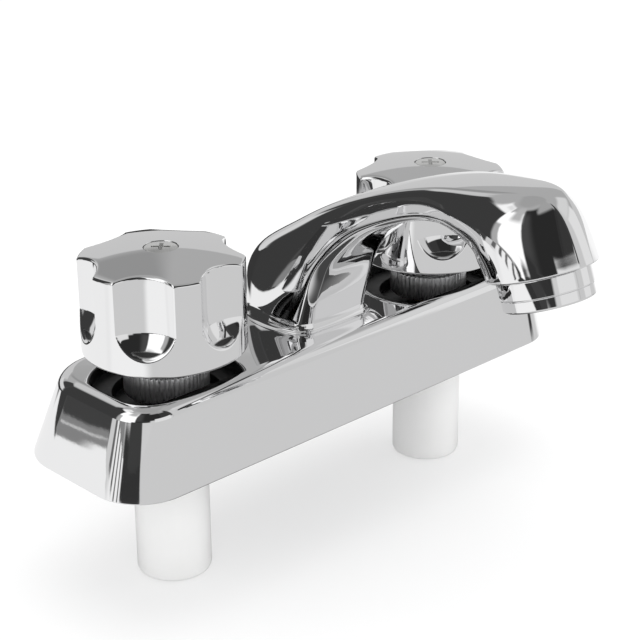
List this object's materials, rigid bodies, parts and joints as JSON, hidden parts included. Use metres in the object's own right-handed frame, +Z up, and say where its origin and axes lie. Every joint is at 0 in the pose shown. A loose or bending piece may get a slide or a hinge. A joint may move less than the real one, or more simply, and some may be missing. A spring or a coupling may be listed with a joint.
{
  "type": "centerset bathroom faucet",
  "caption": "Two-handle centerset washbasin faucet: one casting with an arched spout on a drafted base, fluted round knobs over ribbed collars, threaded inlet shanks below.",
  "frame": {"origin": "on the deck plane that the gasket rests on, midway between the two valve axes", "axes": "+X along the base from the hot knob to the cold knob, -Y towards the spout's outlet, +Z up"},
  "size_m": [0.166, 0.1252, 0.1153],
  "materials": {
    "polished_chrome": "mirror polished plating",
    "white_plastic": "moulded, satin",
    "grey_plastic": "moulded, satin",
    "grey_foam": "closed foam, dull",
    "bright_steel": "bright plated",
    "black_rubber": "smooth, dull",
    "brass": "turned",
    "ceramic": "lapped"
  },
  "bodies": {
    "faucet_body": {"body_shell": "polished_chrome", "waterway_underbody": "white_plastic", "deck_gasket": "grey_foam", "riser_seal": "black_rubber", "underbody_screw_1": "bright_steel", "underbody_screw_2": "bright_steel", "underbody_screw_3": "bright_steel", "underbody_screw_4": "bright_steel", "nozzle_ring": "polished_chrome", "flow_straightener": "grey_plastic", "nozzle_washer": "black_rubber", "hot_bonnet_nut": "polished_chrome", "hot_cartridge_body": "brass", "hot_cartridge_seal": "black_rubber", "hot_seat_seal": "black_rubber", "hot_fixed_disc": "ceramic", "cold_bonnet_nut": "polished_chrome", "cold_cartridge_body": "brass", "cold_cartridge_seal": "black_rubber", "cold_seat_seal": "black_rubber", "cold_fixed_disc": "ceramic"},
    "hot_handle": {"hot_knob": "polished_chrome", "hot_knob_screw": "bright_steel", "hot_stem": "brass", "hot_stem_seal": "black_rubber", "hot_moving_disc": "ceramic"},
    "cold_handle": {"cold_knob": "polished_chrome", "cold_knob_screw": "bright_steel", "cold_stem": "brass", "cold_stem_seal": "black_rubber", "cold_moving_disc": "ceramic"}
  },
  "joints": [
    {"name": "hot_knob_turn", "type": "hinge", "parent": "faucet_body", "child": "hot_handle", "pos_m": [-0.0508, 0, 0.0283], "axis": [0, 0, 1], "range_deg": [0, 90]},
    {"name": "cold_knob_turn", "type": "hinge", "parent": "faucet_body", "child": "cold_handle", "pos_m": [0.0508, 0, 0.0283], "axis": [0, 0, 1], "range_deg": [-90, 0]}
  ]
}
